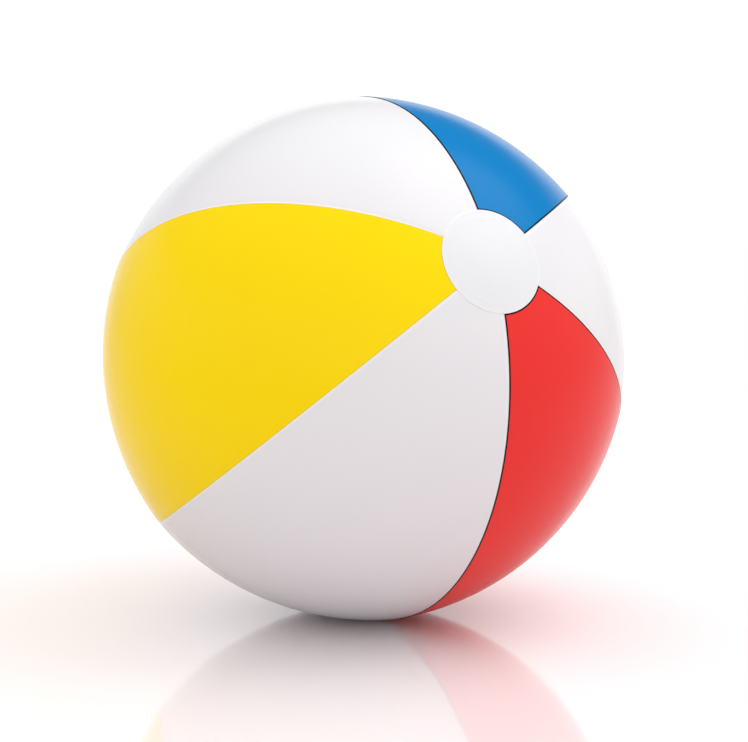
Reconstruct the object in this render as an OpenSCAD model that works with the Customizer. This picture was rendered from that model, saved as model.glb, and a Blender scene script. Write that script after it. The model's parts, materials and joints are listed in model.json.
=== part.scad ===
// Inflatable beach ball: six vinyl panels, two end discs and a push-in mouth valve with its stopper.
// The ball stands as it lies on the ground. +Z is up, and the origin is under its centre, on the ground.
// The line through the discs leans in the YZ plane: the plain disc looks towards -Y and up, and the
// valve disc towards +Y and down. One seam runs along the underside, in the YZ plane.

/* [Ball] */
// Diameter across two opposite seams
ball_d = 340; // [260:5:480]
// How far the middle of a panel lies inside the seams, as a percentage of the seam radius
panel_flat = 1; // [0.8:0.05:3]

/* [Film] */
// Thickness of the vinyl film
film_t = 0.3; // [0.2:0.05:0.4]

/* [End discs] */
// Radius of an end disc
disc_r = 33; // [30:1:45]
// Thickness of an end disc
disc_t = 0.25; // [0.2:0.05:0.5]
// Width of the ring where a disc is welded over the ends of the panels
weld_w = 5; // [3:0.5:8]

/* [Lying on the ground] */
// Lean of the line through the two discs, away from upright
lean = 64; // [40:1:90]
// How far the underside is pressed flat
flat_depth = 1.2; // [0.6:0.1:2]

/* [Valve] */
// Radius of the hole in the valve disc
hole_r = 8.2; // [8:0.1:10]
// Outer radius of the flange that is welded inside the valve disc
flange_r = 15; // [13:0.5:20]
// Thickness of the flange
flange_t = 0.9; // [0.6:0.1:1.5]
// Outer radius of the valve's tube
tube_r = 5.2; // [5:0.1:5.6]
// Radius of the air passage
bore_r = 3; // [2.6:0.1:3.4]
// Length of the tube below the ball's skin
tube_l = 20; // [18:1:26]
// Radius of the rim around the mouth
rim_r = 7.4; // [7:0.1:7.6]
// Thickness of the rim
rim_t = 1.2; // [1:0.1:1.6]
// Height of the rim's underside above the skin, with the valve pushed in
rim_lift = 0.8; // [0.6:0.1:1.4]
// Depth of the collar where the skirt joins the tube
collar_z = 13; // [11:0.5:15]
// Wall of the folding skirt between flange and tube
skirt_t = 0.5; // [0.4:0.1:0.8]

/* [Stopper] */
// Length of the plug
plug_l = 4; // [3:0.5:4]
// How much wider the plug is at its cap than at its tip, in radius
plug_taper = 1; // [0.9:0.1:1.2]
// Thickness of the stopper's cap
cap_t = 1.4; // [1:0.1:2]
// Distance from the valve's axis to the strap's bend
strap_l = 13; // [12:0.5:16]
// Width of the strap
strap_w = 4; // [3:0.5:6]
// Thickness of the strap
strap_t = 1; // [0.8:0.1:1.4]
// How far the finger tab sticks out from the cap
tab_l = 4; // [2:0.5:6]

/* [Check flap] */
// Thickness of the check flap
flap_t = 0.4; // [0.3:0.1:0.6]
// Radius of the check flap
flap_r = 4.5; // [4.2:0.1:4.6]

/* [Hidden] */

// The six panels, by the angle of their middles around the ball, from the seam on top
half_panel = 30;
yellow_at = 90;
red_at = 210;
blue_at = 330;
white_top_at = 30;
white_front_at = 150;
white_side_at = 270;

// A panel's own surface turns about a line across its middle: panel_r along it, cross_r over it
seam_r = ball_d / 2;
panel_r = seam_r * (1 - panel_flat / 100);
cross_r = (seam_r ^ 2 + panel_r ^ 2 - 2 * seam_r * panel_r * cos(half_panel))
          / (2 * (panel_r - seam_r * cos(half_panel)));
panel_half_w = 0.58 * panel_r;
panel_end_r = disc_r - weld_w;

// Height of the seam above the ball's equator, at a distance from the line through the discs
function panel_reach(across) = panel_r - cross_r + sqrt(cross_r ^ 2 - across ^ 2);
function seam_height(out) = sqrt(panel_reach(out * sin(half_panel)) ^ 2 - (out * cos(half_panel)) ^ 2);

// Height of the ball's centre: the lowest seam reaches down this far, less the flat
near_1 = 0.9999;
steps = 400;
seam_outs = [for (i = [steps / 2 : steps]) seam_r * near_1 * i / steps];
centre_h = max([for (out = seam_outs) out * sin(lean) + seam_height(out) * cos(lean)]) - flat_depth;

// The discs are domes that touch the seams at the discs' edge
dome_r = sqrt(disc_r ^ 2 + seam_height(disc_r) ^ 2);
pole_h = dome_r + disc_t;

// Clearance between parts of the valve that touch or slide on each other
gap = 0.1;
overlap = 1;
far = 2 * ball_d;

// Rim and the lug that carries the strap's bend
rim_top = rim_lift + rim_t;
bend_z = rim_lift + rim_t / 2;
bend_r = 0.9;
lug_end = strap_l - bend_r - 3 * gap;

// Stopper: cap on the rim, plug in its seat, with a recess in the cap that makes the plug soft
cap_z = rim_top + gap;
seat_l = plug_l + 4 * gap;
tab_root = 5;
recess_r = 1.6;
recess_l = 3;

// Collar on the tube where the skirt ends, and the skirt's thicker foot under the flange
collar_r = 6.2;
collar_t = 1.5;
foot_w = 0.9;
foot_t = 0.8;
hole_drop = pole_h - sqrt(pole_h ^ 2 - hole_r ^ 2);
skirt_top = disc_t + flange_t + hole_drop + gap;

// Check flap across the tube's lower end
flap_z = tube_l + gap;
flap_root_w = 3;
flap_root_l = 2;

$fn = 180;
vinyl_white = [0.92, 0.92, 0.94];
moulding = [0.86, 0.88, 0.9];

// Moves a shape from the ball's own frame, discs on Z, to where the ball lies
module lying() {
  translate([0, 0, centre_h]) rotate([lean, 0, 0]) rotate([0, 0, 90]) children();
}

// Moves a shape from the valve's frame to the ball: +Z out of the ball, Z = 0 on the disc's skin
module at_valve() {
  lying() rotate([180, 0, 0]) translate([0, 0, pole_h]) children();
}

// Everything higher than z above the ground
module above(z) {
  translate([-far / 2, -far / 2, z]) cube(far);
}

// Solid with the surface of the panel at an angle, a depth below its outer face, pressed flat below
module core(at, depth) {
  intersection() {
    lying() rotate([90, 0, at]) rotate_extrude() intersection() {
      translate([panel_r - cross_r, 0]) circle(cross_r - depth);
      translate([0, -panel_half_w]) square([panel_r, 2 * panel_half_w]);
    }
    above(depth);
  }
}

// The sixth of the ball that belongs to the panel at an angle
module sixth(at) {
  lying() rotate([0, 0, at - half_panel]) rotate_extrude(angle = 2 * half_panel)
    translate([panel_end_r, -seam_r]) square([seam_r, 2 * seam_r]);
}

// One gore of film; it meets its neighbours edge to edge
module panel(at) {
  intersection() {
    difference() {
      core(at, 0);
      core(at, film_t);
    }
    sixth(at);
  }
}

module panel_yellow() { color([0.97, 0.83, 0.05]) panel(yellow_at); }
module panel_red() { color([0.93, 0.22, 0.2]) panel(red_at); }
module panel_blue() { color([0.02, 0.55, 0.82]) panel(blue_at); }
module panel_white_top() { color(vinyl_white) panel(white_top_at); }
module panel_white_front() { color(vinyl_white) panel(white_front_at); }
module panel_white_side() { color(vinyl_white) panel(white_side_at); }

// A domed ring of sheet: from one radius to another, its outer face a depth below the disc's skin
module dome(inner, outer, depth, thickness) {
  rotate_extrude() intersection() {
    difference() {
      circle(pole_h - depth);
      circle(pole_h - depth - thickness);
    }
    translate([inner, 0]) square([outer - inner, pole_h]);
  }
}

module end_disc() { color(vinyl_white) lying() dome(0, disc_r, 0, disc_t); }

module valve_disc() { color(vinyl_white) lying() rotate([180, 0, 0]) dome(hole_r, disc_r, 0, disc_t); }

module valve_flange() {
  color(moulding) lying() rotate([180, 0, 0]) dome(hole_r, flange_r, disc_t, flange_t);
}

// Thin funnel that folds over as the tube is pulled out
module valve_skirt() {
  color(moulding) at_valve() rotate_extrude() polygon([
    [hole_r, -skirt_top],
    [hole_r + foot_w, -skirt_top],
    [hole_r + skirt_t, -skirt_top - foot_t],
    [collar_r + gap + skirt_t, -collar_z - collar_t],
    [collar_r + gap, -collar_z - collar_t],
    [collar_r + gap, -collar_z],
    [hole_r, -skirt_top - foot_t]
  ]);
}

module valve_tube() {
  color(moulding) at_valve() difference() {
    union() {
      rotate_extrude() polygon([
        [0, rim_top], [rim_r, rim_top], [rim_r, rim_lift], [tube_r, rim_lift],
        [tube_r, -collar_z], [collar_r, -collar_z], [collar_r, -collar_z - collar_t],
        [tube_r, -collar_z - collar_t], [tube_r, -tube_l], [0, -tube_l]
      ]);
      translate([rim_r - overlap, -strap_w / 2, rim_lift])
        cube([lug_end - rim_r + overlap, strap_w, rim_t]);
    }
    translate([0, 0, -tube_l - overlap]) cylinder(r = bore_r, h = tube_l + overlap + rim_top);
    translate([0, 0, rim_top - seat_l])
      cylinder(r1 = bore_r, r2 = bore_r + plug_taper * seat_l / plug_l, h = seat_l);
    translate([0, 0, rim_top]) cylinder(r = rim_r, h = overlap);
  }
}

module check_flap() {
  color(moulding) at_valve() {
    translate([0, 0, -flap_z - flap_t]) cylinder(r = flap_r, h = flap_t);
    translate([-flap_r - flap_t / 2, -flap_root_w / 2, -flap_z - flap_t])
      cube([flap_root_l, flap_root_w, flap_t]);
  }
}

module stopper() {
  plug_tip = bore_r + plug_taper * (seat_l - plug_l) / plug_l - gap;
  color(moulding) at_valve() difference() {
    union() {
      translate([0, 0, cap_z]) cylinder(r = rim_r, h = cap_t);
      translate([0, 0, rim_top - plug_l])
        cylinder(r1 = plug_tip, r2 = plug_tip + plug_taper, h = plug_l + gap);
      translate([-rim_r - tab_l, -strap_w / 2, cap_z])
        cube([rim_r + tab_l - tab_root, strap_w, strap_t]);
    }
    translate([0, 0, cap_z + cap_t - recess_l]) cylinder(r = recess_r, h = recess_l + overlap);
  }
}

module stopper_strap() {
  color(moulding) at_valve() difference() {
    union() {
      translate([0, -strap_w / 2, cap_z]) cube([strap_l, strap_w, strap_t]);
      translate([strap_l, strap_w / 2, bend_z]) rotate([90, 0, 0])
        cylinder(r = bend_r, h = strap_w);
    }
    translate([0, 0, cap_z - overlap]) cylinder(r = rim_r, h = strap_t + 2 * overlap);
  }
}

panel_yellow();
panel_red();
panel_blue();
panel_white_top();
panel_white_front();
panel_white_side();
end_disc();
valve_disc();
valve_flange();
valve_skirt();
valve_tube();
check_flap();
stopper();
stopper_strap();
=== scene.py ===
import json
import math

import bmesh
import bpy
from mathutils import Matrix, Vector


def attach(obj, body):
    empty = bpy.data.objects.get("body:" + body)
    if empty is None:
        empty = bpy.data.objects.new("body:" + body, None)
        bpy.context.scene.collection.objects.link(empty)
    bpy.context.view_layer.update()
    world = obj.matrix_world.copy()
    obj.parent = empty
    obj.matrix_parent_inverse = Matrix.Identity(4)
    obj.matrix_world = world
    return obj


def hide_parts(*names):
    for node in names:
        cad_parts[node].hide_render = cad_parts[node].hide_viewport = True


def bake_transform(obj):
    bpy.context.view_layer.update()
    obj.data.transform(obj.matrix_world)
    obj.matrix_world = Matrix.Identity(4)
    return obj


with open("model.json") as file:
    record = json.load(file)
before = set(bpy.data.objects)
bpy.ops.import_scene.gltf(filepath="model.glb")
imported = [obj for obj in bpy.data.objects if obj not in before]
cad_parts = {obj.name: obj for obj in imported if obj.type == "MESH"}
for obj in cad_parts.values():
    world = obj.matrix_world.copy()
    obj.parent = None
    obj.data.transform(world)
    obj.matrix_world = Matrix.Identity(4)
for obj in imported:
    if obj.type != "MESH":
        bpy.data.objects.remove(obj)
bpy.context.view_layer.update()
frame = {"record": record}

# Everything is in metres, in the part's own frame: +Z up, the ground at Z = 0.
MM = 0.001

# The ball's gores: BALL_R at a seam, MIDDLE_R along the middle, CROSS_R over it from seam to seam
BALL_R = 170 * MM
MIDDLE_R = BALL_R * (1 - 0.01)
HALF_GORE = math.radians(30)
CROSS_R = (BALL_R**2 + MIDDLE_R**2 - 2 * BALL_R * MIDDLE_R * math.cos(HALF_GORE)) / (
    2 * (MIDDLE_R - BALL_R * math.cos(HALF_GORE)))
FILM = 0.3 * MM
LAP = 2.5 * MM
DISC_R = 33 * MM
WELD = 5 * MM

# Where each gore's middle stands round the ball, in degrees from the seam on top
GORES = {
    "yellow": 90,
    "red": 210,
    "blue": 330,
    "white_top": 30,
    "white_front": 150,
    "white_side": 270,
}

# Valve: the strap's bend in the valve's own frame
STRAP_X = 13 * MM
STRAP_Z = 1.4 * MM

JOINTS = {joint["name"]: joint for joint in frame["record"]["behaviour"]["joints"]}


def frame_at(origin, across, out):
    """A frame of its own at an origin, with +X across and +Z out."""
    turn = Matrix((across, out.cross(across), out)).transposed()
    return Matrix.Translation(origin) @ turn.to_4x4()


VALVE_OUT = Vector(JOINTS["valve_pull"]["axis"]).normalized()
ACROSS = Vector((0, -VALVE_OUT.z, VALVE_OUT.y))
MOUTH = Vector(JOINTS["stopper_strap_bend"]["pos_m"]) - STRAP_X * ACROSS - STRAP_Z * VALVE_OUT
POLE_H = MOUTH.y / VALVE_OUT.y
CENTRE = MOUTH - POLE_H * VALVE_OUT
BALL_FRAME = frame_at(CENTRE, ACROSS, -VALVE_OUT)
VALVE_FRAME = frame_at(MOUTH, ACROSS, VALVE_OUT)


# Modelling tools ---------------------------------------------------------------------------------

KINDS = {"verts": "VERT", "edges": "EDGE", "faces": "FACE"}


def deselect():
    if bpy.context.mode != "OBJECT":
        bpy.ops.object.mode_set(mode="OBJECT")
    bpy.ops.object.select_all(action="DESELECT")


def name_it(name):
    piece = bpy.context.object
    piece.name = name
    piece.data.name = name
    return piece


def edit(piece):
    deselect()
    piece.select_set(True)
    bpy.context.view_layer.objects.active = piece
    bpy.ops.object.mode_set(mode="EDIT")


def middle(part):
    if hasattr(part, "co"):
        return part.co
    if hasattr(part, "calc_center_median"):
        return part.calc_center_median()
    return (part.verts[0].co + part.verts[1].co) / 2


def pick(kind, test):
    """Selects the vertices, edges or faces whose middle passes a test, in edit mode."""
    bpy.ops.mesh.select_mode(type=KINDS[kind])
    bpy.ops.mesh.select_all(action="DESELECT")
    mesh = bpy.context.edit_object.data
    shape = bmesh.from_edit_mesh(mesh)
    for part in getattr(shape, kind):
        if test(middle(part)):
            part.select_set(True)
    bmesh.update_edit_mesh(mesh)


def move(x=0, y=0, z=0):
    bpy.ops.transform.translate(value=(x, y, z))


def scale(x=1, y=1, z=1, about=(0, 0, 0)):
    bpy.ops.transform.resize(value=(x, y, z), center_override=about)


def turned(name, profile, sides=96):
    """A turned shape: a ring of edges drawn out from one (radius, height) to the next, in mm."""
    deselect()
    points = [(radius * MM, height * MM) for radius, height in profile]
    closed = points[0] == points[-1]
    from_axis = points[0][0] == 0
    if from_axis:
        points = points[1:]
    radius, height = points[0]
    bpy.ops.mesh.primitive_circle_add(vertices=sides, radius=radius, location=(0, 0, height),
                                      fill_type="TRIFAN" if from_axis else "NOTHING")
    piece = name_it(name)
    bpy.ops.object.transform_apply(location=True, rotation=True, scale=True)
    edit(piece)
    pick("edges", lambda at: at.xy.length > 0.9 * radius)
    for next_radius, next_height in points[1:]:
        bpy.ops.mesh.extrude_region_move(
            TRANSFORM_OT_translate={"value": (0, 0, next_height - height)})
        if next_radius == 0:
            bpy.ops.mesh.merge(type="CENTER")
        else:
            scale(next_radius / radius, next_radius / radius)
        radius, height = next_radius, next_height
    bpy.ops.mesh.select_all(action="SELECT")
    if closed:
        bpy.ops.mesh.remove_doubles(threshold=0.001 * MM)
    bpy.ops.mesh.normals_make_consistent(inside=False)
    bpy.ops.object.mode_set(mode="OBJECT")
    return piece


def modify(piece, kind, **settings):
    """Adds a modifier and applies it."""
    deselect()
    piece.select_set(True)
    bpy.context.view_layer.objects.active = piece
    modifier = piece.modifiers.new(kind.title(), kind)
    for setting, value in settings.items():
        setattr(modifier, setting, value)
    bpy.ops.object.modifier_apply(modifier=modifier.name)


def round_edges(piece, width, segments=3):
    modify(piece, "BEVEL", width=width * MM, segments=segments, limit_method="ANGLE",
           angle_limit=math.radians(35), harden_normals=False)


def copy_of(piece, name):
    deselect()
    piece.select_set(True)
    bpy.context.view_layer.objects.active = piece
    bpy.ops.object.duplicate()
    return name_it(name)


def put(piece, place):
    """Moves a piece from its own frame to its place on the ball, in its mesh."""
    deselect()
    piece.select_set(True)
    bpy.context.view_layer.objects.active = piece
    piece.matrix_world = place
    bpy.ops.object.transform_apply(location=True, rotation=True, scale=True)


def hand_over(piece, material, node, body=None, sharp=35):
    """Shades a finished piece and puts it in place of its node."""
    deselect()
    piece.select_set(True)
    bpy.context.view_layer.objects.active = piece
    bpy.ops.object.shade_smooth_by_angle(angle=math.radians(sharp))
    piece.data.materials.clear()
    piece.data.materials.append(material)
    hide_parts(node)
    if body:
        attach(piece, body)


# Shader tools ------------------------------------------------------------------------------------


class Wire:
    """A socket that can be written in sums: each sign adds its Math node."""

    def __init__(self, shader, socket):
        self.shader = shader
        self.socket = socket

    def math(self, operation, *others):
        return self.shader.math(operation, self, *others)

    def __add__(self, other):
        return self.math("ADD", other)

    def __sub__(self, other):
        return self.math("SUBTRACT", other)

    def __mul__(self, other):
        return self.math("MULTIPLY", other)

    def __truediv__(self, other):
        return self.math("DIVIDE", other)

    def __pow__(self, other):
        return self.math("POWER", other)

    def __abs__(self):
        return self.math("ABSOLUTE")

    __radd__ = __add__
    __rmul__ = __mul__

    def __rsub__(self, other):
        return self.shader.math("SUBTRACT", other, self)

    def least(self, other):
        return self.math("MINIMUM", other)

    def step(self, low, high):
        """0 below low and 1 above high, with a soft step between."""
        return self.shader.node("MapRange", {"interpolation_type": "SMOOTHSTEP"},
                                {"Value": self, "From Min": low, "From Max": high})

    def bead(self, at, width):
        """1 at a value, falling off smoothly to 0 at a width on either side."""
        return 1 - abs(self - at).step(0, width)


class Shader:
    """The nodes of one material or world."""

    def __init__(self, tree):
        self.tree = tree
        tree.nodes.clear()

    def node(self, kind, settings=None, inputs=None, output=0):
        """Any node: its settings first, then the values or wires of its sockets."""
        made = self.tree.nodes.new("ShaderNode" + kind)
        for name, value in (settings or {}).items():
            setattr(made, name, value)
        for name, value in (inputs or {}).items():
            if isinstance(value, Wire):
                self.tree.links.new(value.socket, made.inputs[name])
            else:
                made.inputs[name].default_value = value
        return Wire(self, made.outputs[output])

    def math(self, operation, *values):
        return self.node("Math", {"operation": operation}, dict(enumerate(values)))

    def noise(self, where, size, detail=2, roughness=0.5):
        """Soft noise about 0, from -1 to 1, with patches of a size in the unit of the place."""
        wave = self.node("TexNoise", {}, {"Vector": where, "Scale": 1 / size, "Detail": detail,
                                          "Roughness": roughness})
        return wave * 2 - 1

    def mix(self, share, one, other):
        """From one colour to another."""
        return self.node("Mix", {"data_type": "RGBA"}, {0: share, 6: one, 7: other}, output=2)

    def split(self, vector):
        parts = self.node("SeparateXYZ", {}, {0: vector}).socket.node
        return [Wire(self, parts.outputs[i]) for i in range(3)]

    def join(self, x, y, z):
        return self.node("CombineXYZ", {}, {0: x, 1: y, 2: z})

    def place(self, own_frame):
        """The point on the surface in a frame of its own, in mm."""
        into = own_frame.inverted()
        points = self.node("TexCoord", output=3)
        return self.node("Mapping", {}, {"Vector": points, "Location": into.translation / MM,
                                         "Rotation": into.to_euler("XYZ"),
                                         "Scale": (1 / MM, 1 / MM, 1 / MM)})

    def bump(self, height):
        """A normal from a height in mm."""
        return self.node("Bump", {}, {"Height": height, "Strength": 1, "Distance": MM})

    def finish(self, colour, roughness, height, **fixed):
        surface = {"Base Color": colour, "Roughness": roughness, "Normal": self.bump(height)}
        surface.update({name.replace("_", " "): value for name, value in fixed.items()})
        shell = self.node("BsdfPrincipled", {}, surface)
        out = self.tree.nodes.new("ShaderNodeOutputMaterial")
        self.tree.links.new(shell.socket, out.inputs["Surface"])


def new_material(name):
    material = bpy.data.materials.new(name)
    material.use_nodes = True
    return material, Shader(material.node_tree)


def rgb(red, green, blue):
    return (red, green, blue, 1)


# Materials ---------------------------------------------------------------------------------------


def film_height(shader, along, edge, hub, x):
    """Relief of the blown-up film: puckers running in from the seams, and the weld beads."""
    side = x.math("SIGN")
    pucker = shader.noise(shader.join(along / 7, side * 9, edge / 45), 1, detail=1)
    pucker = pucker * (1 - edge.step(1, 20)) * 0.035
    beads = edge.bead(3.1, 0.45) * 0.035 + hub.bead(1.2, 0.5) * 0.03
    return pucker + beads


def gore_places(shader, at):
    """Where a point lies on the gore whose middle is at an angle: its place, its way along the
    seam, its distances from the nearer seam and from the disc's edge, and its side, in mm."""
    place = shader.place(BALL_FRAME @ Matrix.Rotation(math.radians(at), 4, "Z"))
    x, y, z = shader.split(place)
    out = (x * x + y * y) ** 0.5
    edge = x * math.sin(HALF_GORE) - abs(y) * math.cos(HALF_GORE)
    hub = out - DISC_R / MM
    along = z.math("ARCTAN2", out) * (MIDDLE_R / MM)
    return place, along, edge, hub, y


def vinyl(name, at, colour, pale, line, line_width, line_strength):
    """Glossy coloured film of a gore, with a dark line along its edges."""
    material, shader = new_material(name)
    place, along, edge, hub, side = gore_places(shader, at)
    cloud = shader.noise(place, 90, detail=2)
    gore_colour = shader.mix(cloud * 0.5 + 0.5, rgb(*colour), rgb(*pale))
    wobble = shader.noise(place, 6, detail=2) * 0.08
    border = edge.least(hub) + wobble
    # A dark line along the seams and the disc's edge, a little rougher than the film.
    dark_edge_line = (1 - border.step(line_width - 0.12, line_width + 0.12)) * line_strength
    gore_colour = shader.mix(dark_edge_line, gore_colour, rgb(*line))
    roughness = 0.23 + shader.noise(place, 25, detail=3) * 0.03 + dark_edge_line * 0.1
    grain = shader.noise(place, 3, detail=1) * 0.0015
    height = film_height(shader, along, edge, hub, side) + grain
    shader.finish(gore_colour, roughness, height, Specular_IOR_Level=0.13, Coat_Weight=0.05,
                  Coat_Roughness=0.1)
    return material


def white_vinyl(name, at, colour, pale, weld_highlight_colour):
    """Glossy milky film of a gore, with a painted highlight: a paler strip along the weld, where
    the film is doubled.
    """
    material, shader = new_material(name)
    place, along, edge, hub, side = gore_places(shader, at)
    cloud = shader.noise(place, 110, detail=2)
    tone = shader.mix(cloud * 0.5 + 0.5, rgb(*colour), rgb(*pale))
    # Painted highlight: a paler strip along the seams and round the disc, where the weld's flange
    # would catch the light.
    painted_weld_highlight = 1 - edge.least(hub + 1).step(0.9, 1.9)
    tone = shader.mix(painted_weld_highlight, tone, rgb(*weld_highlight_colour))
    roughness = 0.23 + shader.noise(place, 25, detail=3) * 0.03
    grain = shader.noise(place, 3, detail=1) * 0.0015
    height = film_height(shader, along, edge, hub, side) + grain
    shader.finish(tone, roughness, height, Specular_IOR_Level=0.25, Coat_Weight=0.05,
                  Coat_Roughness=0.1)
    return material


def disc_vinyl(name, own_frame):
    """The discs' thicker milky sheet, with the marks of the round welding tool, and painted light
    that makes its rim paler.
    """
    material, shader = new_material(name)
    place = shader.place(own_frame)
    x, y, _ = shader.split(place)
    out = (x * x + y * y) ** 0.5
    turn = y.math("ARCTAN2", x)
    cloud = shader.noise(place, 40, detail=2)
    tone = shader.mix(cloud * 0.5 + 0.5, rgb(0.76, 0.765, 0.79), rgb(0.8, 0.8, 0.815))
    # Painted light: the sheet is made paler within a millimetre of its rim, to lift the shade that
    # falls on the rim's edge.
    rim = (out - (DISC_R / MM - 1.2)).step(0, 1)
    tone = shader.mix(rim * 0.6, tone, rgb(0.86, 0.86, 0.87))
    inset = DISC_R / MM - out
    knurl = (turn * 180).math("SINE") * inset.step(3.2, 3.6) * (1 - inset.step(6.2, 6.6))
    grain = shader.noise(place, 3, detail=1) * 0.0015
    pull = shader.noise(place, 14, detail=2) * 0.02
    roughness = 0.22 + shader.noise(place, 12, detail=3) * 0.04
    shader.finish(tone, roughness, knurl * 0.006 + grain + pull, Specular_IOR_Level=0.25,
                  Coat_Weight=0.05, Coat_Roughness=0.1)
    return material


def moulding(name, colour, pale, roughness, parting=0.02):
    """Soft moulded vinyl: milky, satin, with flow marks and the mould's parting line."""
    material, shader = new_material(name)
    place = shader.place(VALVE_FRAME)
    x, y, z = shader.split(place)
    flow = shader.noise(shader.join(x, y, z * 0.4), 4, detail=3)
    tone = shader.mix(flow * 0.5 + 0.5, rgb(*colour), rgb(*pale))
    line = y.bead(0, 0.12) * parting
    grain = shader.noise(place, 0.35, detail=2) * 0.006
    rough = roughness + shader.noise(place, 2.5, detail=2) * 0.06
    shader.finish(tone, rough, line + grain, Specular_IOR_Level=0.45, Subsurface_Weight=0.15,
                  Subsurface_Scale=0.001)
    return material


# Gores -------------------------------------------------------------------------------------------

COLUMNS = 32
RINGS = 96


def make_former():
    """The shape a gore is blown to: an arc over the gore, spun about the line across its middle."""
    deselect()
    bpy.ops.mesh.primitive_circle_add(vertices=480, radius=CROSS_R,
                                      location=(MIDDLE_R - CROSS_R, 0, 0), fill_type="NOTHING")
    former = name_it("former")
    bpy.ops.object.transform_apply(location=True, rotation=True, scale=True)
    edit(former)
    pick("verts", lambda at: at.x < 0.3 * BALL_R)
    bpy.ops.mesh.delete(type="VERT")
    bpy.ops.mesh.select_all(action="SELECT")
    bpy.ops.mesh.spin(steps=240, angle=2 * math.pi, center=(0, 0, 0), axis=(0, 1, 0))
    bpy.ops.mesh.select_all(action="SELECT")
    bpy.ops.mesh.remove_doubles(threshold=0.01 * MM)
    bpy.ops.object.mode_set(mode="OBJECT")
    return former


def seam_distance(point, side):
    """How far a point lies inside the seam on one side of a gore."""
    return point.x * math.sin(HALF_GORE) - side * point.y * math.cos(HALF_GORE)


def make_gore():
    """One gore of film, its middle at +X: a sixth of a sphere, drawn on to the former."""
    former = make_former()
    deselect()
    bpy.ops.mesh.primitive_uv_sphere_add(segments=6 * COLUMNS, ring_count=RINGS, radius=BALL_R)
    gore = name_it("gore")
    modify(gore, "SHRINKWRAP", target=former, wrap_method="PROJECT", use_negative_direction=True,
           use_positive_direction=True)
    bpy.data.objects.remove(former)
    edit(gore)
    near = 0.01 * MM
    pick("verts", lambda at: min(seam_distance(at, 1), seam_distance(at, -1)) < -near)
    bpy.ops.mesh.delete(type="VERT")
    tip = math.sqrt(MIDDLE_R**2 - (DISC_R - WELD)**2)
    for side in (1, -1):
        bpy.ops.mesh.select_all(action="SELECT")
        bpy.ops.mesh.bisect(plane_co=(0, 0, side * tip), plane_no=(0, 0, side), clear_outer=True)
    bpy.ops.object.mode_set(mode="OBJECT")
    return gore


def lap_edges(gore):
    """Steps both edges of a white gore in by one film, and runs them on under the neighbours."""
    edit(gore)
    near = 0.02 * MM
    for side in (1, -1):
        inward = (math.sin(HALF_GORE), -side * math.cos(HALF_GORE), 0)
        for distance in (0.5 * MM, 3.5 * MM):
            bpy.ops.mesh.select_all(action="SELECT")
            bpy.ops.mesh.bisect(plane_co=[distance * n for n in inward], plane_no=inward)
        pick("verts", lambda at: seam_distance(at, side) < 0.6 * MM)
        shrink = 1 - 1.1 * FILM / BALL_R
        scale(shrink, shrink, shrink)
        pick("edges", lambda at: abs(seam_distance(at, side)) < near)
        bpy.ops.mesh.extrude_region_move()
        slide = [-LAP * n for n in inward]
        move(*slide)
        shrink = 1 - 0.4 * FILM / BALL_R
        scale(shrink, shrink, shrink)
    bpy.ops.object.mode_set(mode="OBJECT")


def press_flat(gore):
    """The ground presses the underside flat."""
    edit(gore)
    pick("verts", lambda at: at.z < 0)
    scale(1, 1, 0)
    bpy.ops.object.mode_set(mode="OBJECT")


def make_gores():
    master = make_gore()
    inks = {
        "yellow": ((0.95, 0.675, 0.0), (0.97, 0.705, 0.0), (0.42, 0.3, 0.01), 0.3, 0.4),
        "red": ((0.8, 0.03, 0.026), (0.82, 0.036, 0.031), (0.005, 0.001, 0.001), 0.95, 1.0),
        "blue": ((0.0, 0.19, 0.5), (0.0, 0.205, 0.52), (0.0, 0.001, 0.005), 0.95, 1.0),
    }
    for name, at in GORES.items():
        gore = copy_of(master, name + "_gore")
        if name in inks:
            film = vinyl(name + "_film", at, *inks[name])
        else:
            lap_edges(gore)
            # The last colour is the painted highlight along the weld.
            film = white_vinyl(name + "_film", at, (0.775, 0.765, 0.785), (0.795, 0.785, 0.805),
                               (0.87, 0.855, 0.865))
        put(gore, BALL_FRAME @ Matrix.Rotation(math.radians(at), 4, "Z"))
        press_flat(gore)
        modify(gore, "SOLIDIFY", thickness=FILM, offset=-1, use_even_offset=True)
        hand_over(gore, film, "panel_" + name, "ball", sharp=25)
    bpy.data.objects.remove(master)


# Discs -------------------------------------------------------------------------------------------

# How deep the inside of a disc lies under its skin, and the ring that the welding tool leaves:
# how far in from the rim, and how far up or down, in mm
SHEET = 0.27
WELD_RING = [(6.0, 0.01), (5.6, 0.05), (5.2, 0.05), (4.7, -0.01), (4.0, -0.04), (2.8, -0.04),
             (1.6, -0.03), (1.0, 0), (0.5, 0), (0.25, -0.02), (0.07, -0.08), (0, -0.16),
             (0, -0.25)]


def on_dome(radius, rise=0.0):
    """A point of a disc's profile: its skin is a dome, raised or pressed down by a rise, in mm."""
    return (radius, math.sqrt((POLE_H / MM) ** 2 - radius**2) + rise)


def disc_profile(start):
    """The skin from a starting radius out to the rim, with the weld ring, then back inside."""
    edge = DISC_R / MM
    skin = [on_dome(r) for r in (6, 9, 12, 16, 20, 24, edge - 6.6) if r > start]
    ring = [on_dome(edge - inset, rise) for inset, rise in WELD_RING]
    inside = [on_dome(r, -SHEET) for r in (edge - 2, edge - 5, 24, 18, 12, 9) if r > start]
    return skin + ring + inside


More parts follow.
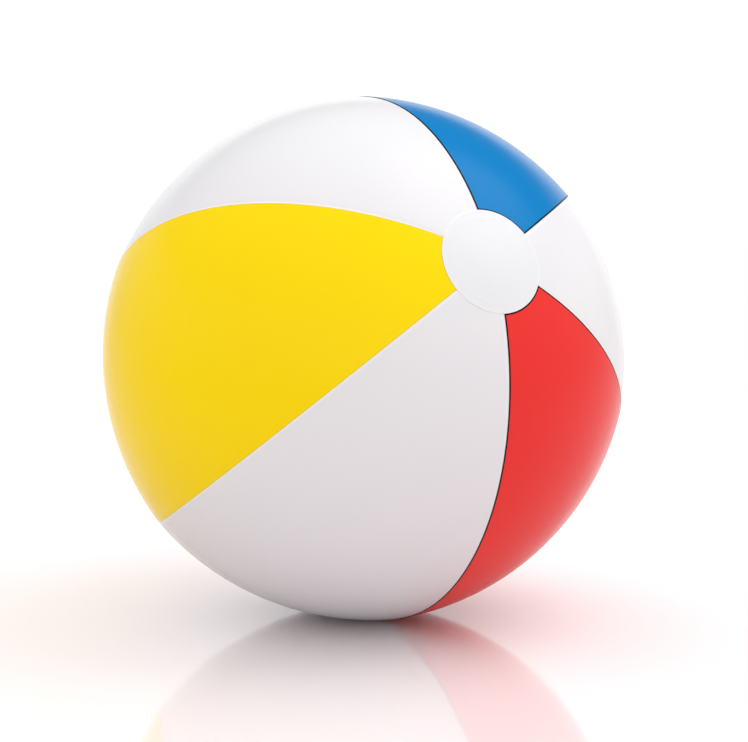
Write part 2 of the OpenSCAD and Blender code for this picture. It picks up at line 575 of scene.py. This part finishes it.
def make_discs():
    plain = turned("plain_disc", [on_dome(0), on_dome(2)] + disc_profile(2)
                   + [on_dome(4, -SHEET), on_dome(0, -SHEET)], sides=144)
    put(plain, BALL_FRAME)
    hand_over(plain, disc_vinyl("plain_disc_sheet", BALL_FRAME), "end_disc", "ball")

    lip = [on_dome(8.2, -0.06), on_dome(8.28, -0.01), on_dome(8.5, 0.02), on_dome(8.9, 0.02)]
    boss = [on_dome(11, 0.02), on_dome(12.2, -0.04), on_dome(13.8, -0.04), on_dome(14.6, 0.03),
            on_dome(15.2, 0.06), on_dome(15.8, 0.0)]
    profile = lip + boss + disc_profile(16) + [on_dome(12, -SHEET), on_dome(8.2, -SHEET)]
    holed = turned("holed_disc", profile + profile[:1], sides=144)
    holed_frame = BALL_FRAME @ Matrix.Rotation(math.pi, 4, "X")
    put(holed, holed_frame)
    hand_over(holed, disc_vinyl("holed_disc_sheet", holed_frame), "valve_disc",
              "ball")


# Valve -------------------------------------------------------------------------------------------


def depth(radius, below):
    """A point of a moulding under the disc, in the valve's frame, a depth below the skin, in mm."""
    return (radius, math.sqrt((POLE_H / MM) ** 2 - radius**2) - POLE_H / MM - below)


def make_flange(soft):
    profile = [depth(8.2, 0.3), depth(8.2, 1.12), depth(10.5, 1.12), depth(11.2, 0.9),
               depth(14.2, 0.85), depth(15, 0.6), depth(15, 0.3), depth(12, 0.28), depth(8.2, 0.3)]
    flange = turned("flange_ring", profile)
    round_edges(flange, 0.08, 2)
    put(flange, VALVE_FRAME)
    hand_over(flange, soft, "valve_flange", "ball")


def make_skirt(soft):
    profile = [(8.2, -1.46), (9.1, -1.46), (8.9, -1.9), (8.7, -2.4), (8.55, -4.2), (8.1, -6.4),
               (7.75, -8.6), (7.3, -10.8), (7.0, -12.6), (6.85, -13.6), (6.8, -14.5), (6.3, -14.5),
               (6.35, -13.4), (6.5, -12.4), (6.8, -10.7), (7.25, -8.5), (7.6, -6.3), (8.0, -4.1),
               (8.15, -2.4), (8.2, -1.46)]
    skirt = turned("folding_skirt", profile)
    round_edges(skirt, 0.06, 2)
    put(skirt, VALVE_FRAME)
    hand_over(skirt, soft, "valve_skirt")
    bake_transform(skirt)


def draw_out(x, side, low, high):
    """Draws the faces on one side of a rim out to a lug that ends square at x, in mm."""
    pick("faces", lambda at: at.x * side > 7.1 * MM and abs(at.y) < 2 * MM
         and low * MM < at.z < high * MM)
    bpy.ops.mesh.extrude_region_move()
    scale(0, 1, 1, about=(x * MM, 0, 0))


def make_tube(soft):
    profile = [(3, -20), (3, -8), (3, -2.4), (3.55, -0.2), (4.1, 2.0), (5.2, 2.0), (6.6, 2.0),
               (7.2, 1.95), (7.4, 1.8), (7.4, 1.0), (7.2, 0.85), (6.6, 0.8), (5.6, 0.8),
               (5.2, 0.4), (5.2, -2), (5.2, -8), (5.2, -12.6), (5.6, -13), (6.2, -13),
               (6.2, -14.5), (5.6, -14.5), (5.2, -14.8), (5.2, -17), (5.05, -19.4), (4.7, -20),
               (3, -20)]
    tube = turned("mouth_tube", profile)
    edit(tube)
    draw_out(11.8, 1, 0.9, 1.9)
    bpy.ops.object.mode_set(mode="OBJECT")
    round_edges(tube, 0.1)
    put(tube, VALVE_FRAME)
    hand_over(tube, soft, "valve_tube", "valve")


def make_stopper(soft):
    profile = [(0, 0.55), (0.7, 0.5), (1.4, 0.6), (1.6, 0.9), (1.6, 3.2), (1.9, 3.5), (3.2, 3.5),
               (3.6, 3.42), (5.8, 3.42), (6.4, 3.5), (7.0, 3.5), (7.4, 3.1), (7.4, 2.2),
               (7.3, 2.1), (4.4, 2.1), (4.0, 1.9), (3.55, 0.0), (3.0, -1.7), (2.7, -2.0), (0, -2.0)]
    stopper = turned("mouth_stopper", profile)
    edit(stopper)
    draw_out(-11.4, -1, 2.2, 3.1)
    scale(1, 0.8, 0.85, about=(0, 0, 2.6 * MM))
    bpy.ops.object.mode_set(mode="OBJECT")
    round_edges(stopper, 0.1)
    put(stopper, VALVE_FRAME)
    hand_over(stopper, soft, "stopper", "stopper")


def make_strap(soft):
    """A flat strap from the cap, bent back under itself to the lug of the mouth tube."""
    deselect()
    bpy.ops.mesh.primitive_cube_add(size=1, location=(9.9 * MM, 0, 2.7 * MM),
                                    scale=(5.4 * MM, 3.8 * MM, 0.7 * MM))
    strap = name_it("stopper_strap_band")
    bpy.ops.object.transform_apply(location=True, rotation=True, scale=True)
    edit(strap)
    pick("faces", lambda at: at.x > 12.5 * MM)
    scale(1, 0.75, 1)
    bpy.ops.mesh.spin(steps=12, angle=math.pi, center=(12.6 * MM, 0, 2.0 * MM), axis=(0, 1, 0))
    bpy.ops.mesh.extrude_region_move(TRANSFORM_OT_translate={"value": (-0.9 * MM, 0, 0)})
    scale(1, 1.25, 1)
    bpy.ops.mesh.select_all(action="SELECT")
    bpy.ops.mesh.normals_make_consistent(inside=False)
    bpy.ops.object.mode_set(mode="OBJECT")
    round_edges(strap, 0.12, 2)
    put(strap, VALVE_FRAME)
    hand_over(strap, soft, "stopper_strap")
    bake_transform(strap)


def make_check_flap(clear):
    profile = [(0, -20.1), (1.5, -20.12), (3.6, -20.12), (4.5, -20.15), (4.5, -20.5), (3.7, -20.5),
               (3.4, -20.38), (1.5, -20.38), (0, -20.38)]
    flap = turned("check_flap_disc", profile, sides=64)
    edit(flap)
    pick("faces", lambda at: at.x < -4.4 * MM and abs(at.y) < 1.5 * MM)
    bpy.ops.mesh.extrude_region_move()
    scale(0, 1, 1, about=(-4.7 * MM, 0, 0))
    bpy.ops.object.mode_set(mode="OBJECT")
    round_edges(flap, 0.05, 2)
    put(flap, VALVE_FRAME)
    hand_over(flap, clear, "check_flap", "check_flap")


# Studio ------------------------------------------------------------------------------------------


def make_floor():
    """A plain pale floor with a light polish."""
    deselect()
    bpy.ops.mesh.primitive_plane_add(size=14, location=(0, 0, -0.02 * MM))
    floor = name_it("floor")
    bpy.ops.object.transform_apply(location=True, rotation=True, scale=True)
    material, shader = new_material("floor_polish")
    where = shader.node("TexCoord", output=3)
    mottle = shader.noise(where, 0.4, detail=2)
    tone = shader.mix(mottle * 0.5 + 0.5, rgb(0.9, 0.825, 0.83), rgb(0.91, 0.835, 0.84))
    shader.finish(tone, 0.08 + mottle * 0.005, mottle * 0.01, Specular_IOR_Level=1.0)
    floor.data.materials.append(material)


def make_lights():
    """White studio all round, and a large soft light overhead to the right. The gloss sees dim air,
    pale walls low down, a brighter one behind, and a soft patch of light where the softbox is."""
    towards = (camera_side("right") * 0.53 + camera_side("up") * 0.85
               + camera_side("back") * 0.04).normalized()
    world = bpy.data.worlds.new("studio")
    bpy.context.scene.world = world
    world.use_nodes = True
    shader = Shader(world.node_tree)
    way = shader.node("TexCoord", output=0)
    x, y, z = shader.split(way)
    behind = -camera_side("back")
    backdrop = x * behind.x + y * behind.y
    glow = 1.02 + z.step(0.0, 1.0) * 0.2
    rays = shader.node("LightPath").socket.node
    seen, mirrored = (Wire(shader, rays.outputs[name]) for name in ("Is Camera Ray",
                                                                    "Is Glossy Ray"))
    sheen = x * towards.x + y * towards.y + z * towards.z
    low = 1 - z.step(0.3, 0.44)
    walls = 0.6 + 0.4 * backdrop.step(0.8, 0.93)
    toned = 0.1 + 0.95 * walls * low + 1.5 * sheen.step(0.84, 1.0)
    strength = (glow * (1 - mirrored) + toned * mirrored) * (1 - seen) + seen * 1.05
    light = shader.node("Background", {}, {"Color": rgb(1, 1, 1), "Strength": strength})
    out = world.node_tree.nodes.new("ShaderNodeOutputWorld")
    world.node_tree.links.new(light.socket, out.inputs["Surface"])

    deselect()
    bpy.ops.object.light_add(type="AREA", location=CENTRE + towards * SOFTBOX_AWAY)
    softbox = bpy.context.object
    softbox.name = "softbox"
    softbox.data.shape = "DISK"
    softbox.data.size = 1.3
    softbox.data.energy = 7
    softbox.visible_glossy = False
    softbox.rotation_euler = towards.to_track_quat("Z", "Y").to_euler()


VIEW_AROUND = math.radians(-30.6)
VIEW_RISE = math.radians(7.0)
VIEW_AWAY = 1.356
LENS = 100.1
AIM_RIGHT = 0.0068
AIM_DOWN = 0.00805
SOFTBOX_AWAY = 1.6


def camera_side(which):
    back = Vector((math.sin(VIEW_AROUND) * math.cos(VIEW_RISE),
                   -math.cos(VIEW_AROUND) * math.cos(VIEW_RISE), math.sin(VIEW_RISE)))
    right = Vector((0, 0, 1)).cross(back).normalized()
    return {"back": back, "right": right, "up": back.cross(right)}[which]


def make_camera():
    back, right, up = (camera_side(which) for which in ("back", "right", "up"))
    deselect()
    bpy.ops.object.camera_add(location=CENTRE + back * VIEW_AWAY + right * AIM_RIGHT
                              - up * AIM_DOWN)
    camera = bpy.context.object
    camera.name = "camera"
    camera.data.lens = LENS
    camera.data.sensor_width = 36
    camera.rotation_euler = back.to_track_quat("Z", "Y").to_euler()
    bpy.context.scene.camera = camera
    bpy.context.scene.view_settings.view_transform = "Standard"


make_camera()
make_gores()
make_discs()
soft = moulding("soft_milky_moulding", (0.76, 0.78, 0.8), (0.8, 0.82, 0.84), 0.36)
make_flange(soft)
make_skirt(soft)
make_tube(soft)
make_stopper(soft)
make_strap(soft)
make_check_flap(moulding("clear_flap_moulding", (0.7, 0.75, 0.78), (0.76, 0.8, 0.83), 0.24, 0))
make_floor()
make_lights()
